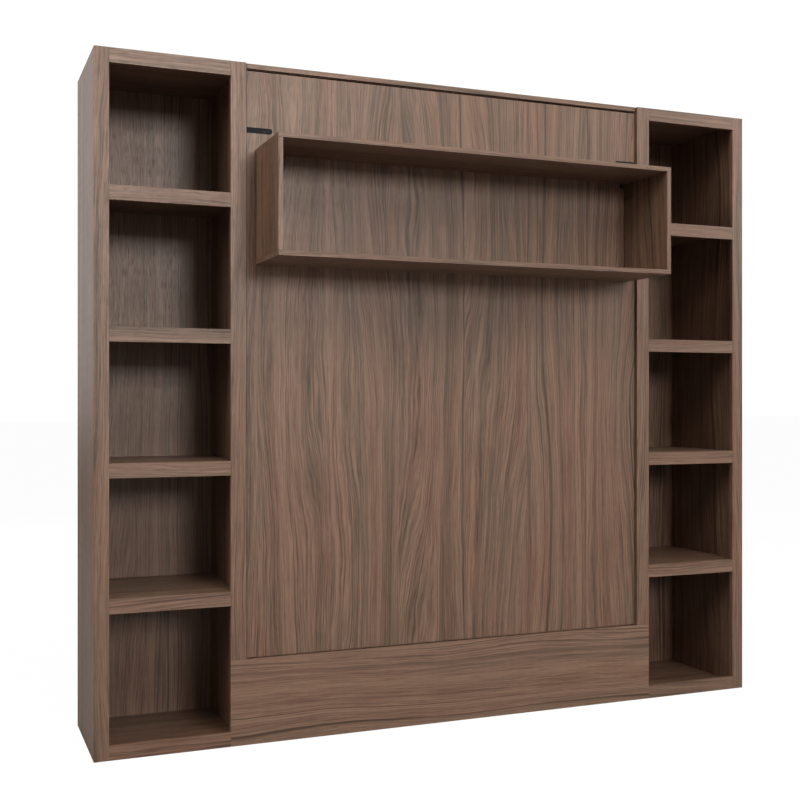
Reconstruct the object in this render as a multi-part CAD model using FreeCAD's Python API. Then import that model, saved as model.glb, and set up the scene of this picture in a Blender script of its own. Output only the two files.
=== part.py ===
import FreeCAD, Part
import math
import os

# A vertical wall bed between two open bookcase towers. A box shelf on the bed's front panel
# stays level as the bed comes down, and is the foot that the open bed stands on.
#
# Frame, in millimetres: +X to the right seen from the room, +Y towards the wall, +Z up.
# The origin is on the floor, at the middle of the closed object's outline.

# ---- Mattress and the space round it ----
mattress_width = 1372.0
mattress_length = 1905.0
mattress_thickness = 190.0
mattress_edge_radius = 25.0
mattress_head_z = 225.0          # lower end of the mattress when the bed is closed
mattress_side_space = 49.0       # mattress to cabinet side
mattress_head_room = 32.0        # upper end of the mattress to the top board
mattress_gap = 1.0               # mattress to slats and straps

# ---- Boards ----
board = 18.0
thin_board = 6.0

# ---- Cabinet ----
cabinet_depth = 430.0
post_width = 51.0
stile_width = 46.0
rail_height = 46.0
tower_opening = 378.0
cell_heights = (401.0, 369.0, 373.0, 388.0)   # clear height of the four lower cells, bottom first
plinth_height = 273.0
top_trim_height = 16.0
top_trim_thickness = 10.0
top_trim_end_gap = 3.0
wall_rail_height = 100.0
lower_wall_rail_z = 100.0
wall_hole_radius = 4.5
wall_hole_spacing = 1200.0

# ---- Front panel ----
panel_thickness = 18.0
panel_recess = 12.0
panel_side_gap = 4.0
panel_bottom_gap = 3.0
panel_top_gap = 7.0

# ---- Box shelf ----
shelf_board = 15.0
shelf_depth = 263.0
shelf_height = 370.0
shelf_side_gap = 32.5            # shelf side to post
panel_above_shelf = 250.0
shelf_pivot_gap = 10.0           # hinge axis in front of the panel
shelf_pivot_inset = 6.5          # hinge axis from the shelf's top and back faces
shelf_floor_gap = 1.0            # shelf to floor when the bed is open

# ---- Levelling linkage ----
plate = 3.0
link_thickness = 4.0
link_half_width = 6.0
link_side_gap = 0.5
link_panel_clearance = 1.5
link_angle = 45.0                # crank direction above the horizontal, closed
eye_radius = 7.0
link_pin_radius = 4.0
running_clearance = 0.05
open_pivot_clearance = 0.6       # lower eye of the level link
crank_tail_length = 60.0
crank_tail_width = 56.0
ear_thickness = 4.0
ear_flange_width = 36.0
ear_flange_height = 50.0
ear_to_link_gap = 2.0
notch_clearance = 2.0
pin_head_height = 3.0
pin_head_radius = 6.0

# ---- Main pivot ----
pivot_behind_panel = 15.0
pivot_pin_radius = 8.0
bush_radius = 11.0
bush_flange_radius = 14.0
bush_flange = 1.5
pivot_plate_size = (110.0, 170.0)     # along Y and Z
pivot_plate_corner = 20.0

# ---- Bed frame ----
rail_tube_width = 20.0
rail_tube_depth = 50.0
tube_wall = 2.0
end_rail_height = 25.0
crossbar_height = 40.0
crossbar_thickness = 6.0
crossbar_heights = (820.0, 1330.0)
shelf_to_rail_gap = 2.5          # inside face of the shelf's side to the side rail, across
slat_count = 15
slat_width = 60.0
slat_thickness = 12.0
slat_end_margin = 45.0
slat_clearance = 2.5             # slats to the sweep of the level links
slat_seat_depth = 14.0
holder_lip = 4.0
holder_clearance = 0.5

# ---- Mattress straps ----
strap_width = 40.0
strap_thickness = 2.0
strap_gaps = (3, 10)             # each strap lies after this slat, counted from the head
strap_tab = 14.0
buckle_size = (70.0, 5.0, 50.0)
buckle_offset = 380.0

# ---- Gas struts: ends given from the main pivot, closed ----
strut_upper_end = (70.0, 480.0)
strut_lower_end = (13.0, -120.0)
strut_radius = 8.5
strut_bore_radius = 6.5
strut_cap = 12.0
strut_body_length = 380.0
strut_rod_radius = 4.0
strut_rod_inside = 60.0
strut_eye_radius = 9.0
strut_eye_thickness = 10.0
strut_gap = 1.5
strut_bracket_size = (40.0, 60.0)
strut_bracket_corner = 8.0
lift_slot_travel = 29.0          # the rod's stud runs this far up its slot at half travel
lift_slot_side_clearance = 6.5
lift_bracket_thickness = 2.5
lift_bracket_margin = 8.0

# ---- Slide latches ----
latch_above_shelf = 61.0
latch_length = 88.0
latch_height = 18.0
latch_case_depth = 11.0
latch_proud = 0.8
latch_wall = 2.5
latch_travel = 14.0
latch_fit = 0.25
latch_post_gap = 0.8
latch_knob_radius = 4.5
latch_knob_proud = 1.4
latch_pocket_clearance = 1.0

# ---- Values worked out from the sizes above ----
bed_opening = mattress_width + 2 * mattress_side_space
opening_x = bed_opening / 2
upright_x = opening_x + board
post_x = opening_x + post_width
stile_x = post_x + tower_opening
outer_x = stile_x + stile_width
side_board_x = outer_x - board

mattress_foot_z = mattress_head_z + mattress_length
cabinet_height = mattress_foot_z + mattress_head_room + board
top_board_z = cabinet_height - board
top_trim_z = cabinet_height - top_trim_height

shelf_gap = shelf_pivot_gap - shelf_pivot_inset
shelf_reach = shelf_depth + shelf_gap - panel_recess
front_y = (shelf_reach - cabinet_depth) / 2
frame_back_y = front_y + board
back_y = front_y + cabinet_depth
back_board_y = back_y - thin_board
wall_rail_y = back_board_y - board

panel_y = front_y + panel_recess
panel_back_y = panel_y + panel_thickness
panel_x = opening_x - panel_side_gap
panel_z = plinth_height + panel_bottom_gap
panel_top_z = top_trim_z - panel_top_gap

pivot_y = panel_back_y + pivot_behind_panel
pivot_z = shelf_floor_gap + shelf_height + shelf_gap + panel_thickness + pivot_behind_panel

shelf_top_z = panel_top_z - panel_above_shelf
shelf_z = shelf_top_z - shelf_height
shelf_x = opening_x - shelf_side_gap
shelf_inside_x = shelf_x - shelf_board
shelf_back_y = panel_y - shelf_gap
shelf_front_y = shelf_back_y - shelf_depth
shelf_pivot_y = panel_y - shelf_pivot_gap
shelf_pivot_z = shelf_top_z - shelf_pivot_inset

link_setback = shelf_pivot_gap + panel_thickness + link_panel_clearance + link_half_width
link_arm = link_setback / math.cos(math.radians(link_angle))
link_rise = link_arm * math.sin(math.radians(link_angle))
crank_pin_y = shelf_pivot_y + link_setback
crank_pin_z = shelf_pivot_z + link_rise
anchor_pin_y = pivot_y + link_setback
anchor_pin_z = pivot_z + link_rise
crank_x = shelf_inside_x - plate
link_outer_x = crank_x - link_side_gap
link_x = link_outer_x - link_thickness
ear_outer_x = link_x - ear_to_link_gap
ear_x = ear_outer_x - ear_thickness
notch_x = ear_x - pin_head_height - notch_clearance
notch_depth = shelf_pivot_inset + eye_radius + notch_clearance

rail_x = shelf_inside_x + shelf_to_rail_gap
rail_outer_x = rail_x + rail_tube_width
rail_back_y = panel_back_y + rail_tube_depth
slat_y = pivot_y + link_arm + eye_radius + slat_clearance
slat_back_y = slat_y + slat_thickness
mattress_y = slat_back_y + mattress_gap
mattress_back_y = mattress_y + mattress_thickness
slat_pitch = (mattress_length - 2 * slat_end_margin) / (slat_count - 1)

plate_x = opening_x - plate
strut_x = plate_x - strut_gap - strut_radius
strut_upper_y = pivot_y + strut_upper_end[0]
strut_upper_z = pivot_z + strut_upper_end[1]
strut_lower_y = pivot_y + strut_lower_end[0]
strut_lower_z = pivot_z + strut_lower_end[1]
strut_length = math.hypot(strut_upper_y - strut_lower_y, strut_upper_z - strut_lower_z)

latch_z = shelf_top_z + latch_above_shelf
latch_end_x = opening_x - latch_post_gap
latch_case_x = panel_x - latch_length + panel_side_gap

x_axis = FreeCAD.Vector(1, 0, 0)
pivot = FreeCAD.Vector(0, pivot_y, pivot_z)
shelf_pivot = FreeCAD.Vector(0, shelf_pivot_y, shelf_pivot_z)
crank_pin = FreeCAD.Vector(0, crank_pin_y, crank_pin_z)
anchor_pin = FreeCAD.Vector(0, anchor_pin_y, anchor_pin_z)
strut_upper = FreeCAD.Vector(0, strut_upper_y, strut_upper_z)
strut_lower = FreeCAD.Vector(0, strut_lower_y, strut_lower_z)


# ---- Helpers ----
def save(node, *solids):
    """Write one node, made of one or more separate solids, as a STEP file."""
    shape = solids[0] if len(solids) == 1 else Part.makeCompound(list(solids))
    shape.exportStep(os.path.join("parts", node + ".step"))


def block(x0, x1, y0, y1, z0, z1):
    """A box between two corners."""
    return Part.makeBox(x1 - x0, y1 - y0, z1 - z0, FreeCAD.Vector(x0, y0, z0))


def mirrored(shape):
    """The same shape on the other side of the bed's middle plane."""
    return shape.mirror(FreeCAD.Vector(0, 0, 0), x_axis)


def pair(shape):
    """A right-hand solid and its left-hand twin."""
    return shape, mirrored(shape)


def cross_pin(centre, radius, x0, x1):
    """A cylinder along X between x0 and x1, centred on a point of the side view."""
    start = FreeCAD.Vector(x0, centre.y, centre.z)
    return Part.makeCylinder(radius, x1 - x0, start, x_axis)


def strap_outline(start, end, radius, x0, x1):
    """A flat bar with round ends, lying in the side view from start to end."""
    across = (end - start).cross(x_axis).normalize() * radius
    corners = [start + across, end + across, end - across, start - across, start + across]
    bar = Part.Face(Part.makePolygon(corners)).extrude(x_axis * (x1 - x0))
    bar.translate(x_axis * x0)
    ends = [cross_pin(point, radius, x0, x1) for point in (start, end)]
    return bar.fuse(ends).removeSplitter()


def rounded_plate(centre, size, corner, x0, x1):
    """A plate across X with rounded corners, size given along Y and Z."""
    half_y = size[0] / 2
    half_z = size[1] / 2
    solid = block(x0, x1, centre.y - half_y, centre.y + half_y, centre.z - half_z, centre.z + half_z)
    edges = [e for e in solid.Edges if abs(e.Vertexes[0].X - e.Vertexes[1].X) > (x1 - x0) / 2]
    return solid.makeFillet(corner, edges)


def hollow_tube(x0, x1, y0, y1, z0, z1, along):
    """A rectangular steel tube with open ends, along 'x' or 'z'."""
    wall_x = 0.0 if along == "x" else tube_wall
    wall_z = 0.0 if along == "z" else tube_wall
    outer = block(x0, x1, y0, y1, z0, z1)
    inner = block(x0 + wall_x, x1 - wall_x, y0 + tube_wall, y1 - tube_wall, z0 + wall_z, z1 - wall_z)
    return outer.cut(inner)


# ---- Bookcase towers ----
def shelf_tops():
    """Height of each shelf's top face, bottom shelf first."""
    tops = []
    level = rail_height
    for height in cell_heights:
        level += height + rail_height
        tops.append(level)
    return tops


def latch_pocket():
    """The hole in the post and upright that a latch bolt slides into."""
    half_height = latch_height / 2 - latch_wall + latch_pocket_clearance
    y0 = panel_y - latch_proud + latch_wall - latch_pocket_clearance
    y1 = panel_y - latch_proud + latch_case_depth - latch_wall + latch_pocket_clearance
    depth = latch_travel - latch_post_gap + latch_pocket_clearance
    return block(opening_x - 1.0, opening_x + depth, y0, y1, latch_z - half_height, latch_z + half_height)


def build_tower(side, place):
    """One bookcase, with the upright and post that it shares with the bed cabinet."""
    tops = shelf_tops()
    boards_z = [(0.0, board), (top_board_z, cabinet_height)]
    rails_z = [(0.0, rail_height), (cabinet_height - rail_height, cabinet_height)]
    rails_z += [(top - rail_height, top) for top in tops]

    save(side + "_outer_side", place(block(side_board_x, outer_x, frame_back_y, back_y, 0, cabinet_height)))
    save(side + "_outer_stile", place(block(stile_x, outer_x, front_y, frame_back_y, 0, cabinet_height)))
    save(side + "_tower_back", place(block(upright_x, side_board_x, back_board_y, back_y, 0, cabinet_height)))
    for name, (low, high) in zip(("_tower_bottom", "_tower_top"), boards_z):
        save(side + name, place(block(upright_x, side_board_x, frame_back_y, back_board_y, low, high)))
    for number, top in enumerate(tops, start=1):
        shelf = block(upright_x, side_board_x, frame_back_y, back_board_y, top - board, top)
        save(side + "_tower_shelf_" + str(number), place(shelf))
    rails = [place(block(post_x, stile_x, front_y, frame_back_y, low, high)) for low, high in rails_z]
    save(side + "_face_rails", *rails)

    upright = block(opening_x, upright_x, frame_back_y, back_y, 0, top_board_z)
    post = block(opening_x, post_x, front_y, frame_back_y, plinth_height, cabinet_height)
    save(side + "_upright", place(upright.cut(latch_pocket())))
    save(side + "_post", place(post.cut(latch_pocket())))


# ---- Bed cabinet ----
def build_bed_cabinet():
    """The boards between the two uprights, and the rails that hold the cabinet to the wall."""
    save("top_board", block(-upright_x, upright_x, frame_back_y, back_y, top_board_z, cabinet_height))
    trim_x = opening_x - top_trim_end_gap
    trim_y = frame_back_y - top_trim_thickness
    save("top_trim", block(-trim_x, trim_x, trim_y, frame_back_y, top_trim_z, cabinet_height))
    save("plinth", block(-post_x, post_x, front_y, frame_back_y, 0, plinth_height))

    back = block(-opening_x, opening_x, back_board_y, back_y, 0, top_board_z)
    rails = []
    for rail_z in (lower_wall_rail_z, top_board_z - wall_rail_height):
        rail = block(-opening_x, opening_x, wall_rail_y, back_board_y, rail_z, rail_z + wall_rail_height)
        for hole_x in (-wall_hole_spacing / 2, wall_hole_spacing / 2):
            start = FreeCAD.Vector(hole_x, wall_rail_y - 1.0, rail_z + wall_rail_height / 2)
            hole = Part.makeCylinder(wall_hole_radius, cabinet_depth, start, FreeCAD.Vector(0, 1, 0))
            rail = rail.cut(hole)
            back = back.cut(hole)
        rails.append(rail)
    save("back_board", back)
    save("wall_rails", *rails)


# ---- Hardware fixed to the uprights ----
def build_fixed_hardware():
    """Pivot plates and pins, the anchors of the level links, and the upper strut brackets."""
    plate_centre = FreeCAD.Vector(0, frame_back_y + pivot_plate_size[0] / 2, pivot_z)
    pivot_plate = rounded_plate(plate_centre, pivot_plate_size, pivot_plate_corner, plate_x, opening_x)
    save("pivot_plates", *pair(pivot_plate.cut(cross_pin(pivot, pivot_pin_radius, plate_x, opening_x))))
    save("main_pivot_pins", *pair(cross_pin(pivot, pivot_pin_radius, crank_x, opening_x)))

    arm = strap_outline(pivot, anchor_pin, eye_radius, crank_x, shelf_inside_x)
    arm = arm.fuse(cross_pin(pivot, bush_flange_radius, crank_x, shelf_inside_x))
    arm = arm.cut(cross_pin(pivot, pivot_pin_radius, crank_x, shelf_inside_x))
    arm = arm.fuse(cross_pin(anchor_pin, link_pin_radius, link_x - 1.0, crank_x)).removeSplitter()
    save("level_anchor_arms", *pair(arm))

    bracket = rounded_plate(strut_upper, strut_bracket_size, strut_bracket_corner, plate_x, opening_x)
    stud_x = strut_x - strut_eye_thickness / 2 - 1.0
    bracket = bracket.fuse(cross_pin(strut_upper, strut_rod_radius, stud_x, plate_x)).removeSplitter()
    save("strut_upper_brackets", *pair(bracket))


# ---- Bed ----
def link_slot():
    """The slot in the front panel that a crank and a hinge ear pass through. It is taller at the back."""
    slope = math.tan(math.radians(link_angle))
    margin = eye_radius / math.cos(math.radians(link_angle)) + notch_clearance
    y0 = panel_y - 1.0
    y1 = panel_back_y + 1.0
    front = (y0 - shelf_pivot_y) * slope + margin
    back = (y1 - shelf_pivot_y) * slope + margin
    corners = [(y0, front), (y1, back), (y1, -back), (y0, -front), (y0, front)]
    outline = Part.makePolygon([FreeCAD.Vector(notch_x, y, shelf_pivot_z + z) for y, z in corners])
    x1 = shelf_inside_x + link_side_gap
    return Part.Face(outline).extrude(FreeCAD.Vector(x1 - notch_x, 0, 0))


def latch_outline(shrink, x0, x1, y0, y1):
    """A bar along X with a half-round inner end, as seen from the front."""
    radius = latch_height / 2 - shrink
    straight = block(x0 + radius, x1, y0, y1, latch_z - radius, latch_z + radius)
    centre = FreeCAD.Vector(x0 + radius, y0, latch_z)
    return straight.fuse(Part.makeCylinder(radius, y1 - y0, centre, FreeCAD.Vector(0, 1, 0))).removeSplitter()


def build_front_panel():
    """The big front panel, with its link slots and latch recesses."""
    panel = block(-panel_x, panel_x, panel_y, panel_back_y, panel_z, panel_top_z)
    case_y = panel_y - latch_proud
    recess = latch_outline(0.0, latch_case_x, panel_x + 1.0, case_y, case_y + latch_case_depth)
    for cutter in pair(link_slot()) + pair(recess):
        panel = panel.cut(cutter)
    save("front_panel", panel)


def latch_slot_range():
    """Where the knob's centre is when the bolt is drawn back, and when it is thrown."""
    start = latch_case_x + latch_height / 2 + latch_knob_radius
    return start, start + latch_travel


def build_latches():
    """Two recessed cases on the panel, and the bolt that slides in each."""
    case_y = panel_y - latch_proud
    case_back_y = case_y + latch_case_depth
    bolt_y = case_y + latch_wall
    bolt_back_y = case_back_y - latch_wall
    knob_start, knob_end = latch_slot_range()
    knob = FreeCAD.Vector(knob_start, panel_y - latch_knob_proud - latch_proud, latch_z)
    slot_half = latch_knob_radius + latch_fit

    case = latch_outline(0.0, latch_case_x, panel_x, case_y, case_back_y)
    case = case.cut(latch_outline(latch_wall, latch_case_x + latch_wall, panel_x, bolt_y, bolt_back_y))
    slot_x = (knob_start - slot_half, knob_end + slot_half)
    case = case.cut(block(*slot_x, case_y - 1.0, bolt_y, latch_z - slot_half, latch_z + slot_half))
    save("latch_cases", *pair(case))

    shrink = latch_wall + latch_fit
    bolt = latch_outline(shrink, latch_case_x + shrink, latch_end_x, bolt_y + latch_fit, bolt_back_y - latch_fit)
    knob_length = bolt_y + latch_fit - knob.y
    grip = Part.makeCylinder(latch_knob_radius, knob_length, knob, FreeCAD.Vector(0, 1, 0))
    bolt = bolt.fuse(grip).removeSplitter()
    save("latch_bolt_right", bolt)
    save("latch_bolt_left", mirrored(bolt))


def build_bed_frame():
    """The steel frame, its pivot bushes, and the slotted lower strut brackets."""
    side_rail = hollow_tube(
        rail_x, rail_outer_x, panel_back_y, rail_back_y, mattress_head_z, mattress_foot_z, "z")
    side_rail = side_rail.cut(cross_pin(pivot, bush_radius, rail_x, rail_outer_x))
    save("side_rail_right", side_rail)
    save("side_rail_left", mirrored(side_rail))
    ends = (("head_rail", mattress_head_z), ("foot_rail", mattress_foot_z - end_rail_height))
    for name, low in ends:
        save(name, hollow_tube(-rail_x, rail_x, panel_back_y, rail_back_y, low, low + end_rail_height, "x"))
    bar_back_y = panel_back_y + crossbar_thickness
    bars = [block(-rail_x, rail_x, panel_back_y, bar_back_y, z, z + crossbar_height) for z in crossbar_heights]
    save("crossbars", *bars)

    bush = cross_pin(pivot, bush_radius, rail_x, rail_outer_x)
    bush = bush.fuse(cross_pin(pivot, bush_flange_radius, rail_x - bush_flange, rail_x))
    bush = bush.fuse(cross_pin(pivot, bush_flange_radius, rail_outer_x, rail_outer_x + bush_flange))
    bush = bush.cut(cross_pin(pivot, pivot_pin_radius + running_clearance, rail_x - 5.0, rail_outer_x + 5.0))
    save("pivot_bushes", *pair(bush.removeSplitter()))

    slot_radius = strut_rod_radius + lift_slot_side_clearance
    slot_end = strut_lower + FreeCAD.Vector(0, 0, lift_slot_travel)
    bracket_radius = slot_radius + lift_bracket_margin
    bracket_x = (rail_outer_x, rail_outer_x + lift_bracket_thickness)
    bracket = strap_outline(strut_lower, slot_end, bracket_radius, *bracket_x)
    bracket = bracket.cut(strap_outline(strut_lower, slot_end, slot_radius, *bracket_x))
    save("strut_lower_brackets", *pair(bracket))


def slat_centres():
    """Height of each slat's middle, head end first."""
    first = mattress_head_z + slat_end_margin
    return [first + number * slat_pitch for number in range(slat_count)]


def build_slats():
    """Slats across the bed, and the cap that holds each end of each slat."""
    slat_end_x = rail_x + slat_seat_depth
    half = slat_width / 2
    pocket_half = half + holder_clearance
    slats = []
    holders = []
    for centre in slat_centres():
        low = centre - half
        slats.append(block(-slat_end_x, slat_end_x, slat_y, slat_back_y, low, low + slat_width))
        holder_half = pocket_half + holder_lip
        holder_back_y = slat_back_y + holder_clearance + holder_lip
        cap = block(rail_x, rail_outer_x, rail_back_y, holder_back_y, centre - holder_half, centre + holder_half)
        pocket_end_x = slat_end_x + holder_clearance
        pocket = block(rail_x - 1.0, pocket_end_x, slat_y, slat_back_y + holder_clearance,
                       centre - pocket_half, centre + pocket_half)
        holders.extend(pair(cap.cut(pocket)))
    save("bed_slats", *slats)
    save("slat_holders", *holders)


def build_mattress():
    """The mattress, and the straps and buckles that hold it to the frame."""
    half = mattress_width / 2
    mattress = block(-half, half, mattress_y, mattress_back_y, mattress_head_z, mattress_foot_z)
    save("mattress", mattress.makeFillet(mattress_edge_radius, mattress.Edges))

    inner_x = half + mattress_gap
    outer = inner_x + strap_thickness
    inner_y = mattress_back_y + mattress_gap
    outer_y = inner_y + strap_thickness
    tab_y = rail_back_y + strap_thickness
    centres = slat_centres()
    straps = []
    buckles = []
    for gap in strap_gaps:
        middle = (centres[gap] + centres[gap + 1]) / 2
        low = middle - strap_width / 2
        high = middle + strap_width / 2
        strap = block(-outer, outer, inner_y, outer_y, low, high)
        for leg in pair(block(inner_x, outer, rail_back_y, outer_y, low, high)):
            strap = strap.fuse(leg)
        for tab in pair(block(inner_x, rail_x + strap_tab, rail_back_y, tab_y, low, high)):
            strap = strap.fuse(tab)
        straps.append(strap.removeSplitter())
        length, height, width = buckle_size
        buckles.append(block(buckle_offset, buckle_offset + length, outer_y, outer_y + height,
                             middle - width / 2, middle + width / 2))
    save("mattress_straps", *straps)
    save("strap_buckles", *buckles)


# ---- Box shelf and its linkage ----
def build_box_shelf():
    """The open box: the sides stand between the top and bottom boards, with a notch by each hinge."""
    inside_z = (shelf_z + shelf_board, shelf_top_z - shelf_board)
    top = block(-shelf_x, shelf_x, shelf_front_y, shelf_back_y, inside_z[1], shelf_top_z)
    notch = block(notch_x, shelf_inside_x, shelf_back_y - notch_depth, shelf_back_y, inside_z[1], shelf_top_z)
    for cutter in pair(notch):
        top = top.cut(cutter)
    save("box_shelf_top", top)
    bottom = block(-shelf_x, shelf_x, shelf_front_y, shelf_back_y, shelf_z, inside_z[0])
    save("box_shelf_bottom", bottom)
    side = block(shelf_inside_x, shelf_x, shelf_front_y, shelf_back_y, *inside_z)
    save("box_shelf_right_side", side)
    save("box_shelf_left_side", mirrored(side))


def build_linkage():
    """Hinge ears on the panel, cranks and hinge pins on the shelf, and the long level links."""
    ear_end = FreeCAD.Vector(0, panel_back_y, shelf_pivot_z)
    ear = strap_outline(shelf_pivot, ear_end, eye_radius, ear_x, ear_outer_x)
    ear = ear.cut(block(ear_x - 1, ear_outer_x + 1, panel_back_y, rail_back_y, shelf_z, shelf_top_z + 100))
    half = ear_flange_height / 2
    flange = block(ear_outer_x - ear_flange_width, ear_outer_x, panel_back_y, panel_back_y + plate,
                   shelf_pivot_z - half, shelf_pivot_z + half)
    ear = ear.fuse(flange).removeSplitter()
    hinge_hole = link_pin_radius + running_clearance
    save("shelf_hinge_brackets", *pair(ear.cut(cross_pin(shelf_pivot, hinge_hole, ear_x, ear_outer_x))))

    crank = strap_outline(shelf_pivot, crank_pin, eye_radius, crank_x, shelf_inside_x)
    tail_top = shelf_top_z - shelf_board - 1.0
    tail_y = shelf_pivot_y + shelf_pivot_inset / 2
    tail = block(crank_x, shelf_inside_x, tail_y - crank_tail_width, tail_y, tail_top - crank_tail_length, tail_top)
    neck = block(crank_x, shelf_inside_x, shelf_pivot_y - eye_radius, tail_y, tail_top, shelf_pivot_z)
    crank = crank.fuse([tail, neck]).removeSplitter()
    crank = crank.cut(cross_pin(shelf_pivot, link_pin_radius, crank_x, shelf_inside_x))
    crank = crank.fuse(cross_pin(crank_pin, link_pin_radius, link_x - 1.0, crank_x)).removeSplitter()
    save("level_cranks", *pair(crank))

    pin = cross_pin(shelf_pivot, link_pin_radius, ear_x, shelf_inside_x)
    pin = pin.fuse(cross_pin(shelf_pivot, pin_head_radius, ear_x - pin_head_height, ear_x)).removeSplitter()
    save("shelf_hinge_pins", *pair(pin))

    link = strap_outline(anchor_pin, crank_pin, link_half_width, link_x, link_outer_x)
    link = link.fuse([cross_pin(point, eye_radius, link_x, link_outer_x) for point in (anchor_pin, crank_pin)])
    link = link.cut(cross_pin(crank_pin, hinge_hole, link_x, link_outer_x))
    link = link.cut(cross_pin(anchor_pin, link_pin_radius + open_pivot_clearance, link_x, link_outer_x))
    save("level_links", *pair(link.removeSplitter()))


# ---- Gas struts ----
def build_struts():
    """A sealed cylinder hung from each upright, and the rod that slides in it."""
    down = (strut_lower - strut_upper).normalize()
    offset = x_axis * strut_x
    body_start = strut_upper + offset + down * strut_eye_radius
    body = Part.makeCylinder(strut_radius, strut_body_length, body_start, down)
    bore_start = body_start + down * strut_cap
    bore_length = strut_body_length - 2 * strut_cap
    body = body.cut(Part.makeCylinder(strut_bore_radius, bore_length, bore_start, down))
    gland_start = body_start + down * (strut_cap + bore_length / 2)
    gland_radius = strut_rod_radius + running_clearance
    body = body.cut(Part.makeCylinder(gland_radius, strut_body_length, gland_start, down))
    eye_x = (strut_x - strut_eye_thickness / 2, strut_x + strut_eye_thickness / 2)
    eye = strap_outline(strut_upper, strut_upper + down * strut_eye_radius, strut_eye_radius * 0.8, *eye_x)
    trimmed_eye = eye.cut(Part.makeCylinder(strut_radius, strut_body_length, body_start, down))
    body = body.fuse(trimmed_eye).cut(cross_pin(strut_upper, strut_rod_radius + running_clearance, *eye_x))
    save("strut_cylinders", *pair(body.removeSplitter()))

    rod_start = body_start + down * (strut_body_length - strut_rod_inside)
    rod_length = strut_length - strut_eye_radius - strut_body_length + strut_rod_inside
    rod = Part.makeCylinder(strut_rod_radius, rod_length, rod_start, down)
    rod_eye = cross_pin(strut_lower, strut_eye_radius * 0.8, *eye_x)
    stud = cross_pin(strut_lower, strut_rod_radius, rail_outer_x + 1.0, strut_x)
    rod = rod.fuse([rod_eye, stud]).removeSplitter()
    save("strut_rods", *pair(rod))


os.makedirs("parts", exist_ok=True)
build_tower("right", lambda shape: shape)
build_tower("left", mirrored)
build_bed_cabinet()
build_fixed_hardware()
build_front_panel()
build_latches()
build_bed_frame()
build_slats()
build_mattress()
build_box_shelf()
build_linkage()
build_struts()
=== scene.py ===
"""Looks of a vertical wall bed between two open bookcase towers.

The boards, frame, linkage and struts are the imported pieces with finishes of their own. The
mattress, its straps and buckles, and the small fasteners are made here.
"""
import logging
import math
from dataclasses import dataclass, field
from enum import Enum
from typing import Iterable, Sequence, Union

import bmesh
import bpy
import numpy as np
from mathutils import Matrix, Vector


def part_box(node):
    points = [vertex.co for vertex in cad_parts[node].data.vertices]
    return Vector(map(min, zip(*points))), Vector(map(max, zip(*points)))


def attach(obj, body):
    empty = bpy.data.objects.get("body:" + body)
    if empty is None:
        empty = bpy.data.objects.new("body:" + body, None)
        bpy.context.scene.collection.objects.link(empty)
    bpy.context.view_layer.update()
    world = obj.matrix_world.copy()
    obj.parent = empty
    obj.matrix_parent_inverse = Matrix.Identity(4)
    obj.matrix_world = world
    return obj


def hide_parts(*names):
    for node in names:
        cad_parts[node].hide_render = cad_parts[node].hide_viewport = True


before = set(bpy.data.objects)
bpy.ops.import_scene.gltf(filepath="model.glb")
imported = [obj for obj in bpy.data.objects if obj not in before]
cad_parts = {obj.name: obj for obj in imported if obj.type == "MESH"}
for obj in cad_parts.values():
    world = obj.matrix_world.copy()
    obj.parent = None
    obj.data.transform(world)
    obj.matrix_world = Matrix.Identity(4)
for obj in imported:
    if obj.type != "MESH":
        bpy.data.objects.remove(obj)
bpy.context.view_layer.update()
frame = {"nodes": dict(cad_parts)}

LOG = logging.getLogger("wall_bed")
Number = Union[int, float]
Colour = tuple[float, float, float]
Point = Sequence[float]
WELD_REACH = 0.00002
SHARP_EDGE = 40.0


# ---------------------------------------------------------------- shader building


class Value:
    """A shader socket with arithmetic: an expression on values adds its Math nodes."""

    def __init__(self, maker: "NodeMaker", socket: bpy.types.NodeSocket) -> None:
        """Wraps a socket of the maker's tree."""
        self.maker = maker
        self.socket = socket

    def math(self, operation: str, *others: "Value | Number") -> "Value":
        """Adds a Math node.

        Args:
            operation: the Math node's operation.
            others: its other inputs, values or numbers.

        Returns:
            The node's result.
        """
        inputs = dict(enumerate((self, *others)))
        return self.maker.node("ShaderNodeMath", {"operation": operation}, inputs)

    def reflected(self, operation: str, other: Number) -> "Value":
        """Adds a Math node with a number as its first input."""
        return self.maker.node("ShaderNodeMath", {"operation": operation}, {0: other, 1: self})

    def __add__(self, other: "Value | Number") -> "Value":
        """Returns the sum."""
        return self.math("ADD", other)

    __radd__ = __add__

    def __sub__(self, other: "Value | Number") -> "Value":
        """Returns the difference."""
        return self.math("SUBTRACT", other)

    def __rsub__(self, other: Number) -> "Value":
        """Returns a number less this value."""
        return self.reflected("SUBTRACT", other)

    def __mul__(self, other: "Value | Number") -> "Value":
        """Returns the product."""
        return self.math("MULTIPLY", other)

    __rmul__ = __mul__

    def __truediv__(self, other: "Value | Number") -> "Value":
        """Returns the quotient."""
        return self.math("DIVIDE", other)

    def __abs__(self) -> "Value":
        """Returns the size without its sign."""
        return self.math("ABSOLUTE")

    def floor(self) -> "Value":
        """Returns the whole number below."""
        return self.math("FLOOR")

    def sine(self) -> "Value":
        """Returns the sine, from radians."""
        return self.math("SINE")

    def between(self, low: Number, high: Number) -> "Value":
        """Rises smoothly from 0 to 1 as this value goes from low to high.

        Args:
            low: where the result is 0.
            high: where the result is 1.

        Returns:
            The smooth step.
        """
        inputs = {"Value": self, "From Min": low, "From Max": high}
        return self.maker.node("ShaderNodeMapRange", {"interpolation_type": "SMOOTHSTEP"}, inputs)


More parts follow.
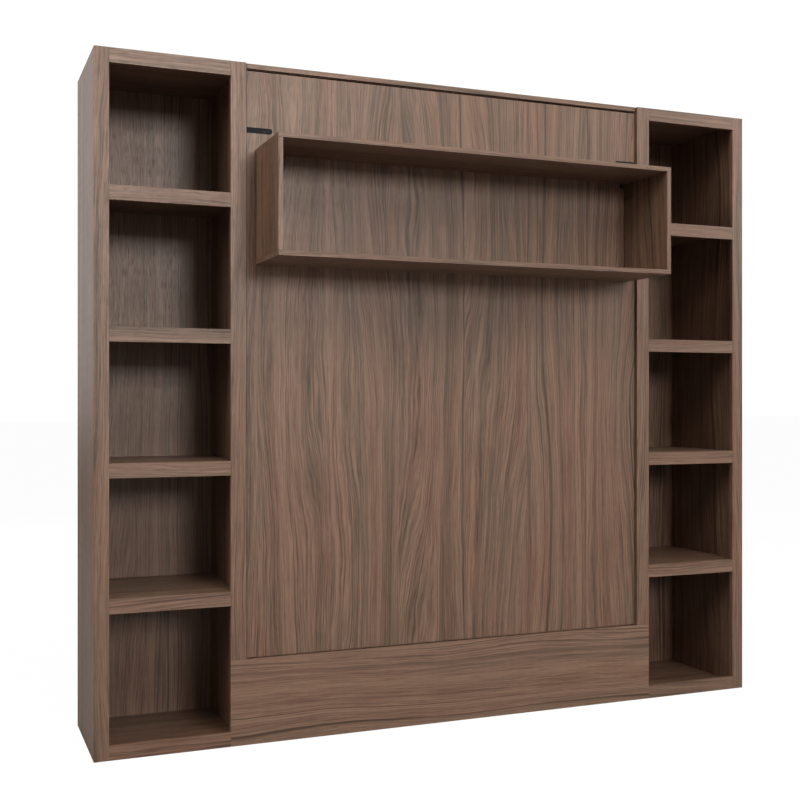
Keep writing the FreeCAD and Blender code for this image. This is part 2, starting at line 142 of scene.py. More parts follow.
class NodeMaker:
    """Makes one material and the nodes in it."""

    def __init__(self, name: str) -> None:
        """Starts a material of that name with an empty tree."""
        self.material = bpy.data.materials.new(name)
        self.material.use_nodes = True
        self.tree = self.material.node_tree
        self.tree.nodes.clear()

    def node(
        self,
        kind: str,
        settings: dict[str, object] | None = None,
        inputs: dict[str | int, object] | None = None,
        output: str | int = 0,
    ) -> Value:
        """Adds a node of any kind.

        Args:
            kind: the node's type.
            settings: what is set on the node before its inputs. "stops" gives a ramp's stops.
            inputs: numbers, colours or links, by the socket's name or place.
            output: which of the node's outputs is returned.

        Returns:
            That output.
        """
        made = self.tree.nodes.new(kind)
        for key, setting in (settings or {}).items():
            if key == "stops":
                self.set_stops(made.color_ramp, setting)
            else:
                setattr(made, key, setting)
        for key, given in (inputs or {}).items():
            socket = made.inputs[key]
            if isinstance(given, Value):
                self.tree.links.new(given.socket, socket)
            else:
                socket.default_value = given
        return Value(self, made.outputs[output])

    @staticmethod
    def set_stops(ramp: bpy.types.ColorRamp, stops: Iterable[tuple[float, Colour]]) -> None:
        """Gives a colour ramp its stops, as pairs of place and colour."""
        stops = list(stops)
        while len(ramp.elements) < len(stops):
            ramp.elements.new(1.0)
        for element, (place, colour) in zip(ramp.elements, stops):
            element.position = place
            element.color = (*colour, 1.0)

    def place(self) -> tuple[Value, Value, Value]:
        """Returns the point's x, y and z on the piece, in metres."""
        point = self.node("ShaderNodeTexCoord", output="Object")
        return tuple(self.node("ShaderNodeSeparateXYZ", inputs={0: point}, output=k) for k in "XYZ")

    def join(self, x: "Value | Number", y: "Value | Number", z: "Value | Number" = 0.0) -> Value:
        """Returns a vector of three values."""
        return self.node("ShaderNodeCombineXYZ", inputs={0: x, 1: y, 2: z})

    def noise(
        self, point: Value, detail: float = 2.0, rough: float = 0.5, dimensions: str = "3D"
    ) -> Value:
        """Adds a noise that has cells about one unit wide.

        Args:
            point: the vector, or with "1D" the number, that it is read at.
            detail: how many finer layers are added.
            rough: how strong the finer layers are.
            dimensions: "1D", "2D" or "3D".

        Returns:
            The noise, from 0 to 1 with its middle at 0.5.
        """
        where = "W" if dimensions == "1D" else "Vector"
        inputs = {where: point, "Scale": 1.0, "Detail": detail, "Roughness": rough}
        return self.node("ShaderNodeTexNoise", {"noise_dimensions": dimensions}, inputs)

    def random(self, number: "Value | Number") -> Value:
        """Returns a random value from 0 to 1 for a number, always the same one for it."""
        return self.node("ShaderNodeTexWhiteNoise", {"noise_dimensions": "1D"}, {"W": number})

    def ramp(self, factor: Value, *stops: tuple[float, Colour]) -> Value:
        """Returns a colour from a ramp with those stops."""
        return self.node("ShaderNodeValToRGB", {"stops": stops}, {"Fac": factor})

    def mix(self, factor: "Value | Number", first: "Value | Colour", second: "Value | Colour") -> Value:
        """Mixes two colours.

        Args:
            factor: how much of the second there is.
            first: a colour.
            second: a colour.

        Returns:
            The mixed colour.
        """
        ends = [c if isinstance(c, Value) else (*c, 1.0) for c in (first, second)]
        settings = {"data_type": "RGBA", "clamp_factor": True}
        return self.node("ShaderNodeMix", settings, {0: factor, 6: ends[0], 7: ends[1]}, output=2)

    def scaled(self, colour: Value, factor: "Value | Number") -> Value:
        """Returns a colour made lighter or darker by a factor."""
        return self.node("ShaderNodeVectorMath", {"operation": "SCALE"}, {0: colour, "Scale": factor})

    def bump(self, height: Value, depth: float, strength: float = 1.0) -> Value:
        """Returns a normal raised by a height, which is from 0 to 1 over depth in metres."""
        return self.node("ShaderNodeBump", inputs={"Height": height, "Distance": depth, "Strength": strength})

    def finish(self, **inputs: object) -> bpy.types.Material:
        """Adds the shader and its output.

        Args:
            inputs: the shader's sockets, with _ for a space in a name.

        Returns:
            The material.
        """
        sockets = {key.replace("_", " "): given for key, given in inputs.items()}
        shader = self.node("ShaderNodeBsdfPrincipled", inputs=sockets, output="BSDF")
        self.node_output(shader)
        return self.material

    def node_output(self, shader: Value) -> None:
        """Links a shader to the material's surface."""
        end = self.tree.nodes.new("ShaderNodeOutputMaterial")
        self.tree.links.new(shader.socket, end.inputs["Surface"])


# ---------------------------------------------------------------- finishes


class Grain(Enum):
    """Which way the grain runs on a board: (along, across, and through) as places in x, y, z."""

    UPRIGHT = (2, 0, 1)
    LEVEL = (0, 2, 1)


@dataclass(frozen=True)
class WalnutLaminate:
    """Taupe walnut laminate: long dark lines, pink and grey bands, fine pores."""

    name: str
    grain: Grain
    seed: float
    leaf: float = 0.0
    figure: float = 0.30
    wave: float = 0.055
    tone: float = 0.58
    contrast: float = 1.0
    dark: Colour = (0.040, 0.019, 0.009)
    middle: Colour = (0.133, 0.064, 0.037)
    light: Colour = (0.202, 0.114, 0.073)
    grey: Colour = (0.114, 0.069, 0.043)

    def build(self) -> bpy.types.Material:
        """Builds the material."""
        maker = NodeMaker(self.name)
        place = maker.place()
        along, across, through = (place[k] for k in self.grain.value)
        across = across + through * 0.83
        leaf = ((across + self.seed) / self.leaf).floor() + self.seed if self.leaf else self.seed
        shift = maker.random(leaf)
        wide = across + shift * 7.3 + self.seed
        long = along + shift * 11.0 + self.seed * 3.1
        figure = maker.noise(maker.join(wide * 2.6, long * 0.55), 1.0, 0.4, "2D") - 0.5
        wave = maker.noise(maker.join(wide * 7.0, long * 1.5), 3.0, 0.5, "2D") - 0.5
        ring = wide + figure * self.figure + wave * self.wave
        bands = maker.noise(ring * 24.0, 4.0, 0.64, "1D")
        spaced = ring * 84.0 + maker.noise(ring * 13.0, 2.0, 0.6, "1D") * 14.0
        order = spaced.floor()
        part = spaced - order
        line = part.between(0.50, 0.90) * (1.0 - part.between(0.95, 1.0))
        weight = maker.random(order + self.seed)
        fade = maker.noise(maker.join(wide * 9.0, long * 1.3), 2.0, 0.5, "2D").between(0.30, 0.66)
        lines = line * (weight * weight * 1.3 + 0.14) * (fade * 0.6 + 0.4)
        tint = maker.noise(maker.join(ring * 9.0, long * 0.9), 2.0, 0.6, "2D").between(0.38, 0.62)
        fibre = maker.noise(maker.join(ring * 240.0, long * 5.0), 3.0, 0.7, "2D")
        pores = maker.noise(maker.join(wide * 1100.0, long * 26.0), 1.0, 0.5, "2D").between(0.58, 0.70)
        tone = (bands - 0.5) * self.contrast + (fibre - 0.5) * 1.40 + self.tone
        warm = maker.ramp(tone, (0.12, self.dark), (0.48, self.middle), (0.86, self.light))
        cool = maker.ramp(tone, (0.12, self.dark), (0.50, self.grey), (0.90, self.light))
        colour = maker.mix(tint * 0.78, warm, cool)
        colour = maker.mix(lines, colour, self.dark)
        colour = maker.scaled(colour, 1.0 - pores * 0.22)
        rough = 0.44 + pores * 0.14 - (tone - 0.5) * 0.06
        height = 1.0 - pores * 0.7 - lines * 0.3 + fibre * 0.2
        return maker.finish(
            Base_Color=colour,
            Roughness=rough,
            Normal=maker.bump(height, 0.00012, 0.6),
            IOR=1.5,
            Specular_IOR_Level=0.49,
            Specular_Tint=(1.0, 0.94, 0.88, 1.0),
        )


@dataclass(frozen=True)
class PaleWood:
    """Bare wood with fine grain along x, and thin layers on its edges."""

    name: str
    light: Colour
    dark: Colour
    layer: float
    ring: float = 60.0

    def build(self) -> bpy.types.Material:
        """Builds the material."""
        maker = NodeMaker(self.name)
        x, y, z = maker.place()
        warp = maker.noise(maker.join(x * 1.4, z * 9.0, y * 9.0), 2.0) - 0.5
        ring = maker.noise((z + y * 0.6) * self.ring + warp * 2.2, 3.0, 0.6, "1D")
        fibre = maker.noise(maker.join(x * 14.0, z * 700.0, y * 700.0), 2.0, 0.6)
        facing = maker.node("ShaderNodeNewGeometry", output="Normal")
        edge = abs(maker.node("ShaderNodeSeparateXYZ", inputs={0: facing}, output="Z")).between(0.5, 0.8)
        layers = (y * (math.tau / self.layer)).sine().between(-0.2, 0.6) * edge
        tone = (ring - 0.5) * 1.3 + (fibre - 0.5) * 0.6 + 0.5 - layers * 0.35
        colour = maker.ramp(tone, (0.15, self.dark), (0.75, self.light))
        height = fibre * 0.5 + ring * 0.5
        return maker.finish(
            Base_Color=colour,
            Roughness=0.58 - (fibre - 0.5) * 0.2,
            Normal=maker.bump(height, 0.0002, 0.6),
        )


@dataclass(frozen=True)
class Metal:
    """A metal surface: plated, brushed or coated."""

    name: str
    colour: Colour
    worn: Colour
    metallic: float
    rough: float
    speckle: float
    depth: float
    gloss: float = 0.5

    def build(self) -> bpy.types.Material:
        """Builds the material."""
        maker = NodeMaker(self.name)
        x, y, z = maker.place()
        cloud = maker.noise(maker.join(x * 14.0, y * 14.0, z * 14.0), 3.0)
        fine = maker.noise(maker.join(*(p * self.speckle for p in (x, y, z))), 2.0, 0.6)
        stain = (cloud * 0.7 + fine * 0.3).between(0.40, 0.66)
        return maker.finish(
            Base_Color=maker.mix(stain, self.colour, self.worn),
            Metallic=self.metallic,
            Roughness=self.rough + (fine - 0.5) * 0.22 + (cloud - 0.5) * 0.12,
            Normal=maker.bump(fine, self.depth, 0.5),
            Specular_IOR_Level=self.gloss,
        )


@dataclass(frozen=True)
class MouldedPlastic:
    """Moulded plastic with a fine eroded grain."""

    name: str
    colour: Colour
    rough: float = 0.55
    gloss: float = 0.10

    def build(self) -> bpy.types.Material:
        """Builds the material."""
        maker = NodeMaker(self.name)
        x, y, z = maker.place()
        grain = maker.noise(maker.join(x * 900.0, y * 900.0, z * 900.0), 2.0, 0.6)
        cloud = maker.noise(maker.join(x * 22.0, y * 22.0, z * 22.0), 2.0)
        lighter = tuple(c * 1.5 + 0.001 for c in self.colour)
        return maker.finish(
            Base_Color=maker.mix((cloud * 0.6 + grain * 0.4).between(0.35, 0.7), self.colour, lighter),
            Roughness=self.rough + (grain - 0.5) * 0.25,
            Normal=maker.bump(grain, 0.00005, 0.5),
            Specular_IOR_Level=self.gloss,
        )


@dataclass(frozen=True)
class MattressKnit:
    """Stretch knit ticking with a woven-in wave, on the mattress and its border."""

    name: str
    colour: Colour
    shade: Colour
    pitch: float = 0.0022

    def build(self) -> bpy.types.Material:
        """Builds the material."""
        maker = NodeMaker(self.name)
        x, y, z = maker.place()
        turn = math.tau / self.pitch
        wale = ((x + y) * turn).sine()
        course = (z * turn + (x * turn).sine() * 0.8).sine()
        loop = (wale * course) * 0.5 + 0.5
        swirl = ((z * 38.0 + (x * 31.0).sine() * 1.6 + y * 30.0).sine()) * 0.5 + 0.5
        heather = maker.noise(maker.join(x * 420.0, y * 420.0, z * 420.0), 2.0, 0.6)
        cloud = maker.noise(maker.join(x * 5.0, y * 5.0, z * 5.0), 3.0)
        wave = swirl.between(0.35, 0.65)
        tone = wave * 0.45 + (heather - 0.5) * 0.9 + (cloud - 0.5) * 0.5 + (1.0 - loop) * 0.18
        return maker.finish(
            Base_Color=maker.mix(tone, self.colour, self.shade),
            Roughness=0.86 - swirl * 0.10,
            Normal=maker.bump(loop * 0.6 + wave * 0.4, 0.0005, 0.6),
            Sheen_Weight=0.25,
            Sheen_Roughness=0.5,
        )


@dataclass(frozen=True)
class Webbing:
    """Flat woven webbing with a herringbone and two edge lines."""

    name: str
    colour: Colour
    shade: Colour
    centres: tuple[float, ...]
    half_width: float

    def build(self) -> bpy.types.Material:
        """Builds the material."""
        maker = NodeMaker(self.name)
        x, y, z = maker.place()
        offset = None
        for centre in self.centres:
            near = abs(z - centre)
            offset = near if offset is None else offset.math("MINIMUM", near)
        run = x + y
        twill = ((run + offset) * (math.tau / 0.0034)).sine() * 0.5 + 0.5
        rib = (z * (math.tau / 0.0021)).sine() * 0.5 + 0.5
        edge = offset.between(self.half_width - 0.006, self.half_width - 0.003)
        fuzz = maker.noise(maker.join(x * 600.0, y * 600.0, z * 600.0), 2.0, 0.6)
        tone = twill * 0.45 + edge * 0.35 + (fuzz - 0.5) * 0.7
        return maker.finish(
            Base_Color=maker.mix(tone, self.colour, self.shade),
            Roughness=0.78 + (fuzz - 0.5) * 0.2,
            Normal=maker.bump(twill * 0.6 + rib * 0.4, 0.0004, 0.8),
            Sheen_Weight=0.2,
        )


# ---------------------------------------------------------------- mesh building


class Axis(Enum):
    """The way a small turned piece points."""

    LEFT = (-1.0, 0.0, 0.0)
    RIGHT = (1.0, 0.0, 0.0)
    FRONT = (0.0, -1.0, 0.0)
    BACK = (0.0, 1.0, 0.0)
    UP = (0.0, 0.0, 1.0)

    @property
    def turn(self) -> Matrix:
        """Returns the rotation that takes +Z to this way."""
        return Vector(self.value).to_track_quat("Z", "Y").to_matrix().to_4x4()


@dataclass
class Piece:
    """A mesh under construction, in the object's own frame, in metres."""

    name: str
    mesh: bmesh.types.BMesh = field(default_factory=bmesh.new)

    def loft(self, rings: Sequence[Sequence[Point]], closed: bool = True, capped: bool = True) -> None:
        """Joins rings of points into a skin.

        Args:
            rings: rings with the same number of points.
            closed: whether each ring's last point joins its first.
            capped: whether the first and last rings are filled.
        """
        rows = [[self.mesh.verts.new(point) for point in ring] for ring in rings]
        count = len(rows[0])
        for low, high in zip(rows, rows[1:]):
            for k in range(count if closed else count - 1):
                n = (k + 1) % count
                self.mesh.faces.new((low[k], low[n], high[n], high[k]))
        if capped:
            self.mesh.faces.new(rows[0][::-1])
            self.mesh.faces.new(rows[-1])

    def turned(self, profile: "TurnedProfile", centre: Point, way: Axis) -> None:
        """Adds a turned piece.

        Args:
            profile: its rings.
            centre: where its seat is.
            way: the way that it points.
        """
        place = Matrix.Translation(Vector(centre)) @ way.turn
        self.loft([[place @ Vector(p) for p in ring] for ring in profile.rings()])

    def slab(self, low: Point, high: Point) -> None:
        """Adds a plain block between two corners, for a later bevel."""
        corners = [(low[0], low[1]), (high[0], low[1]), (high[0], high[1]), (low[0], high[1])]
        self.loft([[(x, y, z) for x, y in corners] for z in (low[2], high[2])])

    def tube(self, path: Sequence[Point], radius: float, sides: int = 8, closed: bool = False) -> None:
        """Adds a round tube along a path.

        Args:
            path: points along its middle.
            radius: its radius.
            sides: how many sides the round has.
            closed: whether the path's end joins its start.
        """
        points = [Vector(p) for p in path]
        count = len(points)
        rings = []
        side = None
        for k, point in enumerate(points):
            before = points[k - 1] if closed or k else point
            after = points[(k + 1) % count] if closed or k < count - 1 else point
            forward = (after - before).normalized()
            if side is None:
                side = forward.orthogonal().normalized()
            side = (side - forward * side.dot(forward)).normalized()
            other = forward.cross(side)
            turns = [math.tau * s / sides for s in range(sides)]
            rings.append([point + (side * math.cos(t) + other * math.sin(t)) * radius for t in turns])
        if closed:
            rings.append(rings[0])
        self.loft(rings, capped=not closed)
        if closed:
            bmesh.ops.remove_doubles(self.mesh, verts=self.mesh.verts[:], dist=1e-6)

    def bevel(self, width: float, segments: int = 2) -> None:
        """Rounds every sharp edge."""
        sharp = [e for e in self.mesh.edges if len(e.link_faces) == 2 and e.calc_face_angle() > 0.6]
        bmesh.ops.bevel(self.mesh, geom=sharp, offset=width, segments=segments, profile=0.5, affect="EDGES")

    def release(self) -> bpy.types.Object:
        """Turns the mesh into an object in the scene, and frees the mesh under construction."""
        data = bpy.data.meshes.new(self.name)
        self.mesh.to_mesh(data)
        self.mesh.free()
        return linked(self.name, data)

    def place(
        self, body: str, material: bpy.types.Material, slot: str, smooth: float = 40.0
    ) -> bpy.types.Object:
        """Turns the mesh into an object that rides on a body.

        Args:
            body: the body's name.
            material: its finish.
            slot: not used.
            smooth: edges sharper than this many degrees stay sharp.

        Returns:
            The object.
        """
        bmesh.ops.recalc_face_normals(self.mesh, faces=self.mesh.faces[:])
        made = self.release()
        made.data.materials.append(material)
        shade(made, smooth)
        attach(made, body)
        return made


@dataclass(frozen=True)
class TurnedProfile:
    """Rings of a turned piece: each is its radius, its height and whether it is six-sided."""

    steps: tuple[tuple[float, float, bool], ...]
    sides: int = 24

    def rings(self) -> list[list[Vector]]:
        """Returns the rings as points about +Z."""
        made = []
        for radius, height, hexagon in self.steps:
            ring = []
            for k in range(self.sides):
                angle = math.tau * k / self.sides
                reach = radius
                if hexagon:
                    reach = radius * math.cos(math.pi / 6) / math.cos((angle % (math.pi / 3)) - math.pi / 6)
                ring.append(Vector((reach * math.cos(angle), reach * math.sin(angle), height)))
            made.append(ring)
        return made


def socket_screw(head: float, height: float) -> TurnedProfile:
    """Returns a round-headed screw with a six-sided socket, of that head radius and height."""
    socket = head * 0.5
    return TurnedProfile(
        (
            (head * 0.97, 0.0, False),
            (head, height * 0.18, False),
            (head * 0.96, height * 0.55, False),
            (head * 0.80, height * 0.88, False),
            (head * 0.60, height, False),
            (socket, height, True),
            (socket * 0.96, height * 0.3, True),
            (socket * 0.2, height * 0.22, False),
        )
    )


def hex_bolt(across: float, height: float, washer: float) -> TurnedProfile:
    """Returns a six-sided bolt head on its washer, by radius, height and washer radius."""
    return TurnedProfile(
        (
            (washer, 0.0, False),
            (washer, 0.0016, False),
            (washer * 0.96, 0.002, False),
            (across * 1.02, 0.002, False),
            (across, 0.0023, True),
            (across, height * 0.86, True),
            (across * 0.88, height, False),
            (across * 0.2, height, False),
        )
    )


def linked(name: str, data: bpy.types.ID) -> bpy.types.Object:
    """Returns a new object of that name and data, in the scene."""
    made = bpy.data.objects.new(name, data)
    bpy.context.scene.collection.objects.link(made)
    return made


def shade(made: bpy.types.Object, degrees: float) -> None:
    """Shades an object's mesh smooth, with edges sharper than that many degrees kept sharp."""
    made.data.shade_smooth()
    with bpy.context.temp_override(object=made, active_object=made, selected_objects=[made]):
        made.data.set_sharp_from_angle(angle=math.radians(degrees))


def soften(node: bpy.types.Object, width: float, segments: int = 2) -> None:
    """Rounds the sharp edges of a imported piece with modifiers, and leaves its mesh as it is.

    Args:
        node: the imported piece.
        width: the rounding's width.
        segments: how many faces it has across.
    """
    weld = node.modifiers.new("weld", "WELD")
    weld.merge_threshold = WELD_REACH
    rounding = node.modifiers.new("rounding", "BEVEL")
    rounding.width = width
    rounding.segments = segments
    rounding.limit_method = "ANGLE"
    rounding.angle_limit = math.radians(SHARP_EDGE)
    rounding.harden_normals = True


# ---------------------------------------------------------------- sub-assemblies


@dataclass
class Boards:
    """The laminated boards of the cabinet, the front panel and the box shelf."""

    edge: float = 0.0007
    panel_leaf: float = 0.244
    first_seed: float = 0.61
    wide_seed: float = 5.13
    seed_step: float = 1.37
    usual_tone: float = 0.58
    wide_boards: tuple[str, ...] = ("front_panel", "back_board")
    level_names: tuple[str, ...] = ("rails", "shelf_", "tower_top", "tower_bottom", "top_board", "top_trim")
    level_more: tuple[str, ...] = ("plinth", "box_shelf_top", "box_shelf_bottom")
    # lighter: the plinth and the right post get a raised tone, which is painted light: it stands in for the
    # stronger front light that falls on them.
    lighter: dict[str, float] = field(default_factory=lambda: {"plinth": 0.70, "right_post": 0.65})

    def grain_of(self, name: str) -> Grain:
        """Returns the way that a board's grain runs."""
        if name.startswith("box_shelf"):
            return Grain.LEVEL if name in self.level_more else Grain.UPRIGHT
        level = name in self.level_more or any(part in name for part in self.level_names)
        return Grain.LEVEL if level else Grain.UPRIGHT

    def build(self, nodes: dict[str, bpy.types.Object]) -> int:
        """Dresses every laminated board.

        Args:
            nodes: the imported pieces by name.

        Returns:
            How many there are.
        """
        names = sorted(n for n, o in nodes.items() if o.data.materials[0].name == "walnut_laminate")
        for count, name in enumerate(names):
            wide = name in self.wide_boards
            finish = WalnutLaminate(
                name="walnut_" + name,
                grain=self.grain_of(name),
                seed=self.seed_step * count + (self.wide_seed if wide else self.first_seed),
                leaf=self.panel_leaf if wide else 0.0,
                figure=0.21 if wide else 0.14,
                wave=0.050 if wide else 0.036,
                # The raised tone of the plinth and the right post is painted light, not a paler laminate.
                tone=self.lighter.get(name, self.usual_tone),
                contrast=1.35 if wide else 0.95,
            )
            nodes[name].data.materials[0] = finish.build()
            soften(nodes[name], self.edge if name != "back_board" else self.edge / 2)
        return len(names)


@dataclass
class Hardware:
    """The steel, wood and plastic pieces that come as packed, with their finishes."""

    edges: dict[str, float] = field(
        default_factory=lambda: {
            "bed_slats": 0.002,
            "wall_rails": 0.0015,
            "slat_holders": 0.0006,
            "side_rail_left": 0.0016,
            "side_rail_right": 0.0016,
            "head_rail": 0.0016,
            "foot_rail": 0.0016,
            "crossbars": 0.0005,
        }
    )

    def finishes(self) -> dict[str, bpy.types.Material]:
        """Returns the material for each slot."""
        zinc = Metal("zinc_plate", (0.55, 0.56, 0.57), (0.42, 0.42, 0.43), 1.0, 0.34, 160.0, 0.00004)
        coat = Metal(
            "black_coat", (0.006, 0.006, 0.007), (0.011, 0.011, 0.012), 0.0, 0.5, 520.0, 0.00006, 0.15
        )
        rod = Metal("chromed_rod", (0.78, 0.79, 0.80), (0.66, 0.67, 0.69), 1.0, 0.12, 260.0, 0.00001)
        return {
            "zinc_steel": zinc.build(),
            "black_steel": coat.build(),
            "chromed_rod": rod.build(),
            "black_plastic": MouldedPlastic("black_plastic", (0.004, 0.004, 0.005)).build(),
            "bush_plastic": MouldedPlastic("bush_plastic", (0.62, 0.58, 0.49), 0.42).build(),
            "birch_slats": PaleWood("birch_ply", (0.66, 0.50, 0.32), (0.47, 0.32, 0.18), 0.003).build(),
            "wall_rail_wood": WalnutLaminate("wall_rail_laminate", Grain.LEVEL, 71.3).build(),
        }

    def build(self, nodes: dict[str, bpy.types.Object]) -> dict[str, bpy.types.Material]:
        """Dresses the pieces.

        Args:
            nodes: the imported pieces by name.

        Returns:
            The material for each slot.
        """
        finishes = self.finishes()
        cranks = Metal(
            "brown_coat", (0.060, 0.032, 0.020), (0.080, 0.043, 0.027), 0.0, 0.5, 520.0, 0.00006, 0.45
        ).build()
        for name, node in nodes.items():
            slot = node.data.materials[0].name
            if slot in finishes:
                node.data.materials[0] = cranks if name == "level_cranks" else finishes[slot]
                if name in self.edges:
                    soften(node, self.edges[name])
        return finishes


@dataclass
class Mattress:
    """A quilted foam mattress with a piped border."""

    voxel: float = 0.015
    swell: float = 0.010
    slack: float = 0.0015
    pressure: float = 4.0
    steps: int = 20
    corner: float = 0.034
    corner_faces: int = 5
    quilt: float = 0.155
    channel: float = 0.011
    channel_depth: float = 0.0085
    strap_dent: float = 0.004
    piping: float = 0.0042
    piping_inset: float = 0.0062
    piping_corner: float = 0.040
    piping_height: float = 0.022
    vent_shares: tuple[float, ...] = (0.12, 0.16, 0.84, 0.88)
    straps: tuple[float, ...] = ()

    def shell(self) -> bpy.types.Object:
        """Returns the slightly smaller block that the mattress swells from."""
        low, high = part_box("mattress")
        shrink = Vector((1, 1, 1)) * (self.swell + self.slack)
        piece = Piece("mattress_cover")
        piece.slab(low + shrink, high - shrink)
        piece.bevel(self.corner, self.corner_faces)
        made = piece.release()
        remesh = made.modifiers.new("remesh", "REMESH")
        remesh.mode = "VOXEL"
        remesh.voxel_size = self.voxel
        return settle(made)

    def swollen(self, made: bpy.types.Object) -> bpy.types.Object:
        """Blows the cover up as cloth, and caps how far a point may move.

        Args:
            made: the cover.

        Returns:
            The cover with the result in its mesh.
        """
        rest = points_of(made)
        cloth = made.modifiers.new("cloth", "CLOTH")
        cloth.settings.use_pressure = True
        cloth.settings.uniform_pressure_force = self.pressure
        cloth.settings.effector_weights.gravity = 0.0
        cloth.settings.quality = 4
        scene = bpy.context.scene
        for step in range(1, self.steps + 1):
            scene.frame_set(step)
        shown = made.evaluated_get(bpy.context.evaluated_depsgraph_get())
        moved = np.empty(len(shown.data.vertices) * 3)
        shown.data.vertices.foreach_get("co", moved)
        moved = moved.reshape(-1, 3) - rest
        made.modifiers.remove(cloth)
        scene.frame_set(1)
        length = np.linalg.norm(moved, axis=1, keepdims=True)
        capped = moved * np.minimum(1.0, self.swell / np.maximum(length, 1e-9))
        put_points(made, rest + capped)
        return made

    def quilted(self, made: bpy.types.Object) -> None:
        """Presses the sewn channels and the straps' dents into the cover."""
        low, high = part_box("mattress")
        centre = (low + high) / 2
        points = points_of(made)
        normals = np.empty(len(made.data.vertices) * 3)
        made.data.vertices.foreach_get("normal", normals)
        normals = normals.reshape(-1, 3)
        facing = np.abs(normals[:, 1])
        a = (points[:, 0] - centre.x + points[:, 2] - centre.z) / (self.quilt * math.sqrt(2))
        b = (points[:, 0] - centre.x - points[:, 2] + centre.z) / (self.quilt * math.sqrt(2))
        near = np.minimum(np.abs(a - np.round(a)), np.abs(b - np.round(b))) * self.quilt
        pillow = np.exp(-((near / self.channel) ** 2)) + 0.35 * np.exp(-near / 0.03)
        edge = np.minimum.reduce([
            points[:, 0] - low.x, high.x - points[:, 0], points[:, 2] - low.z, high.z - points[:, 2]])
        flat = np.clip((edge - 0.035) / 0.03, 0, 1) * np.clip((facing - 0.6) / 0.3, 0, 1)
        depth = self.channel_depth * pillow / 1.35 * flat
        middle = (points[:, 1] - centre.y) / ((high.y - low.y) / 2)
        border = np.clip((0.5 - facing) / 0.3, 0, 1)
        depth += border * 0.0035 * np.exp(-((points[:, 1] - centre.y) / 0.008) ** 2)
        for strap in self.straps:
            across = np.abs(points[:, 2] - strap)
            dent = np.exp(-((across / 0.03) ** 4)) * (middle > -0.9)
            depth += self.strap_dent * dent * np.clip(facing * 2, 0, 1)
        put_points(made, points - normals * depth[:, None])

    def rim(self, y: float) -> list[Vector]:
        """Returns the loop that the piping follows at one height.

        Args:
            y: how far it is from the room, in the closed bed.

        Returns:
            Points round the mattress.
        """
        low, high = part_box("mattress")
        inset, turn = self.piping_inset, self.piping_corner
        x, z0, z1 = high.x - inset, low.z + inset, high.z - inset
        loop = []
        for sx, sz, start in ((1, 1, 0), (-1, 1, 90), (-1, -1, 180), (1, -1, 270)):
            middle_x = sx * (x - turn)
            middle_z = (z1 - turn) if sz > 0 else (z0 + turn)
            for k in range(9):
                angle = math.radians(start + k * 90 / 8)
                across, up = turn * math.cos(angle), turn * math.sin(angle)
                loop.append(Vector((middle_x + across, y, middle_z + up)))
        dense = []
        for first, second in zip(loop, loop[1:] + loop[:1]):
            parts = max(1, round((second - first).length / 0.03))
            dense += [first.lerp(second, k / parts) for k in range(parts)]
        return dense

    def build(self, eyelet: bpy.types.Material) -> None:
        """Builds the cover, its piping and its eyelets."""
        ticking = MattressKnit("mattress_ticking", (0.80, 0.77, 0.71), (0.60, 0.57, 0.52)).build()
        trim = MattressKnit("mattress_trim", (0.30, 0.27, 0.25), (0.19, 0.17, 0.16), 0.0016).build()
        cover = self.shell()
        cover = self.swollen(cover)
        smoother = cover.modifiers.new("subdivision", "SUBSURF")
        smoother.levels = smoother.render_levels = 1
        cover = settle(cover)
        self.quilted(cover)
        cover.data.materials.clear()
        cover.data.materials.append(ticking)
        shade(cover, 180.0)
        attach(cover, "bed")
        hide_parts("mattress")
        low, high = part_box("mattress")
        piping = Piece("mattress_piping")
        for y in (low.y + self.piping_height, high.y - self.piping_height):
            piping.tube(self.rim(y), self.piping, 10, closed=True)
        piping.place("bed", trim, "mattress_fabric", 180.0)
        vents = Piece("mattress_vents")
        steps = (
            (0.0095, 0.0, False),
            (0.0095, 0.0012, False),
            (0.0080, 0.0022, False),
            (0.0060, 0.0018, False),
            (0.0050, 0.0004, False),
            (0.0010, 0.0002, False),
        )
        for side, way in ((-1, Axis.LEFT), (1, Axis.RIGHT)):
            for share in self.vent_shares:
                z = low.z + share * (high.z - low.z)
                centre = (side * (high.x - 0.0045), (low.y + high.y) / 2 + 0.03, z)
                vents.turned(TurnedProfile(steps), centre, way)
        vents.place("bed", eyelet, "black_plastic")


